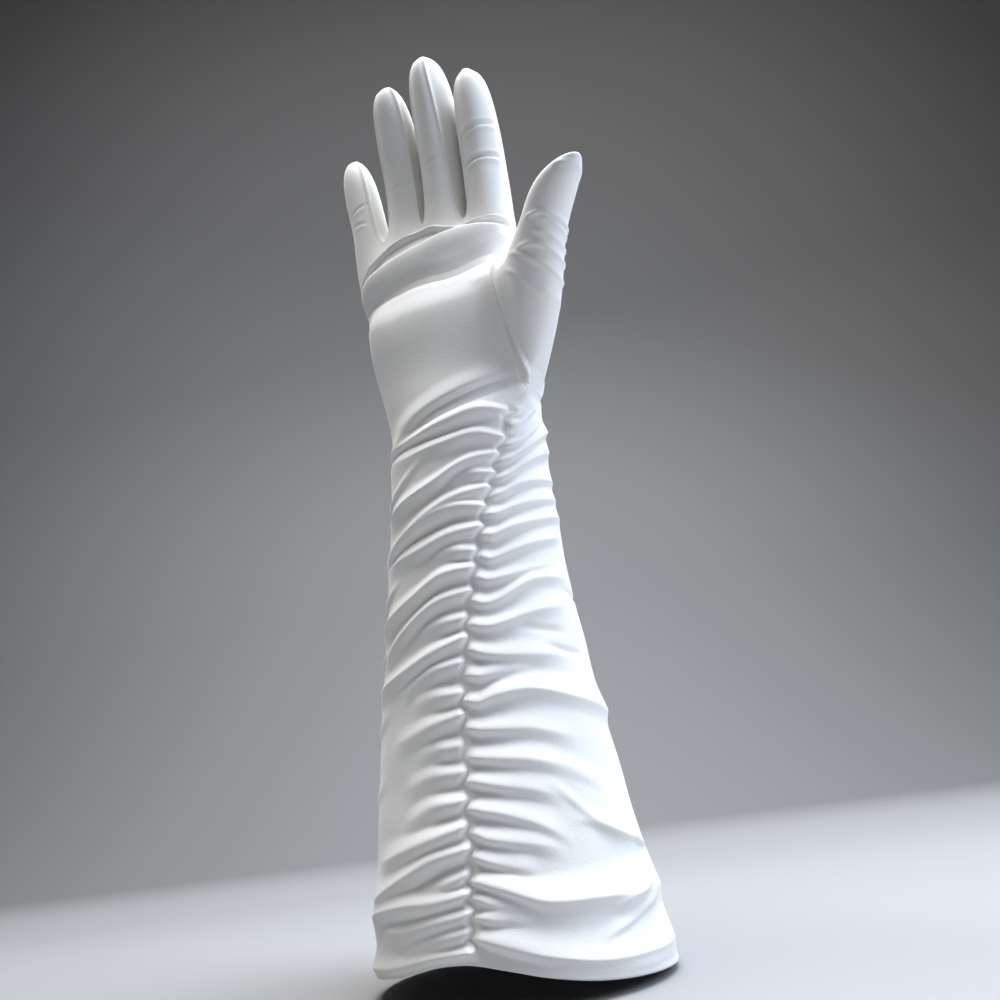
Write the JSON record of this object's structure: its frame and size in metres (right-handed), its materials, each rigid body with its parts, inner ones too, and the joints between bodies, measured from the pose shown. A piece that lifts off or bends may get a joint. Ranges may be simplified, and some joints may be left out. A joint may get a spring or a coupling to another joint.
{
  "type": "long dress glove",
  "caption": "Long white cloth dress glove for a right hand, held in its worn shape, with a gathered seam up the palm side of the flared sleeve.",
  "frame": {"origin": "middle of the arm opening, in the plane of the hem", "axes": "+Z runs from the hem up the arm to the fingertips, -Y is the way the palm faces, +X points to the thumb's side"},
  "size_m": [0.1255, 0.0851, 0.3701],
  "materials": {
    "glove_cloth": "matte fine cotton knit, ivory white, with a faint soft sheen",
    "strip_cloth": "the same cotton knit, slightly warmer in the side strips between the fingers"
  },
  "bodies": {
    "root": {"palm_panel": "glove_cloth", "back_panel": "glove_cloth", "thumb": "glove_cloth", "fourchette_little_ring": "strip_cloth", "fourchette_ring_middle": "strip_cloth", "fourchette_middle_index": "strip_cloth"}
  },
  "joints": []
}
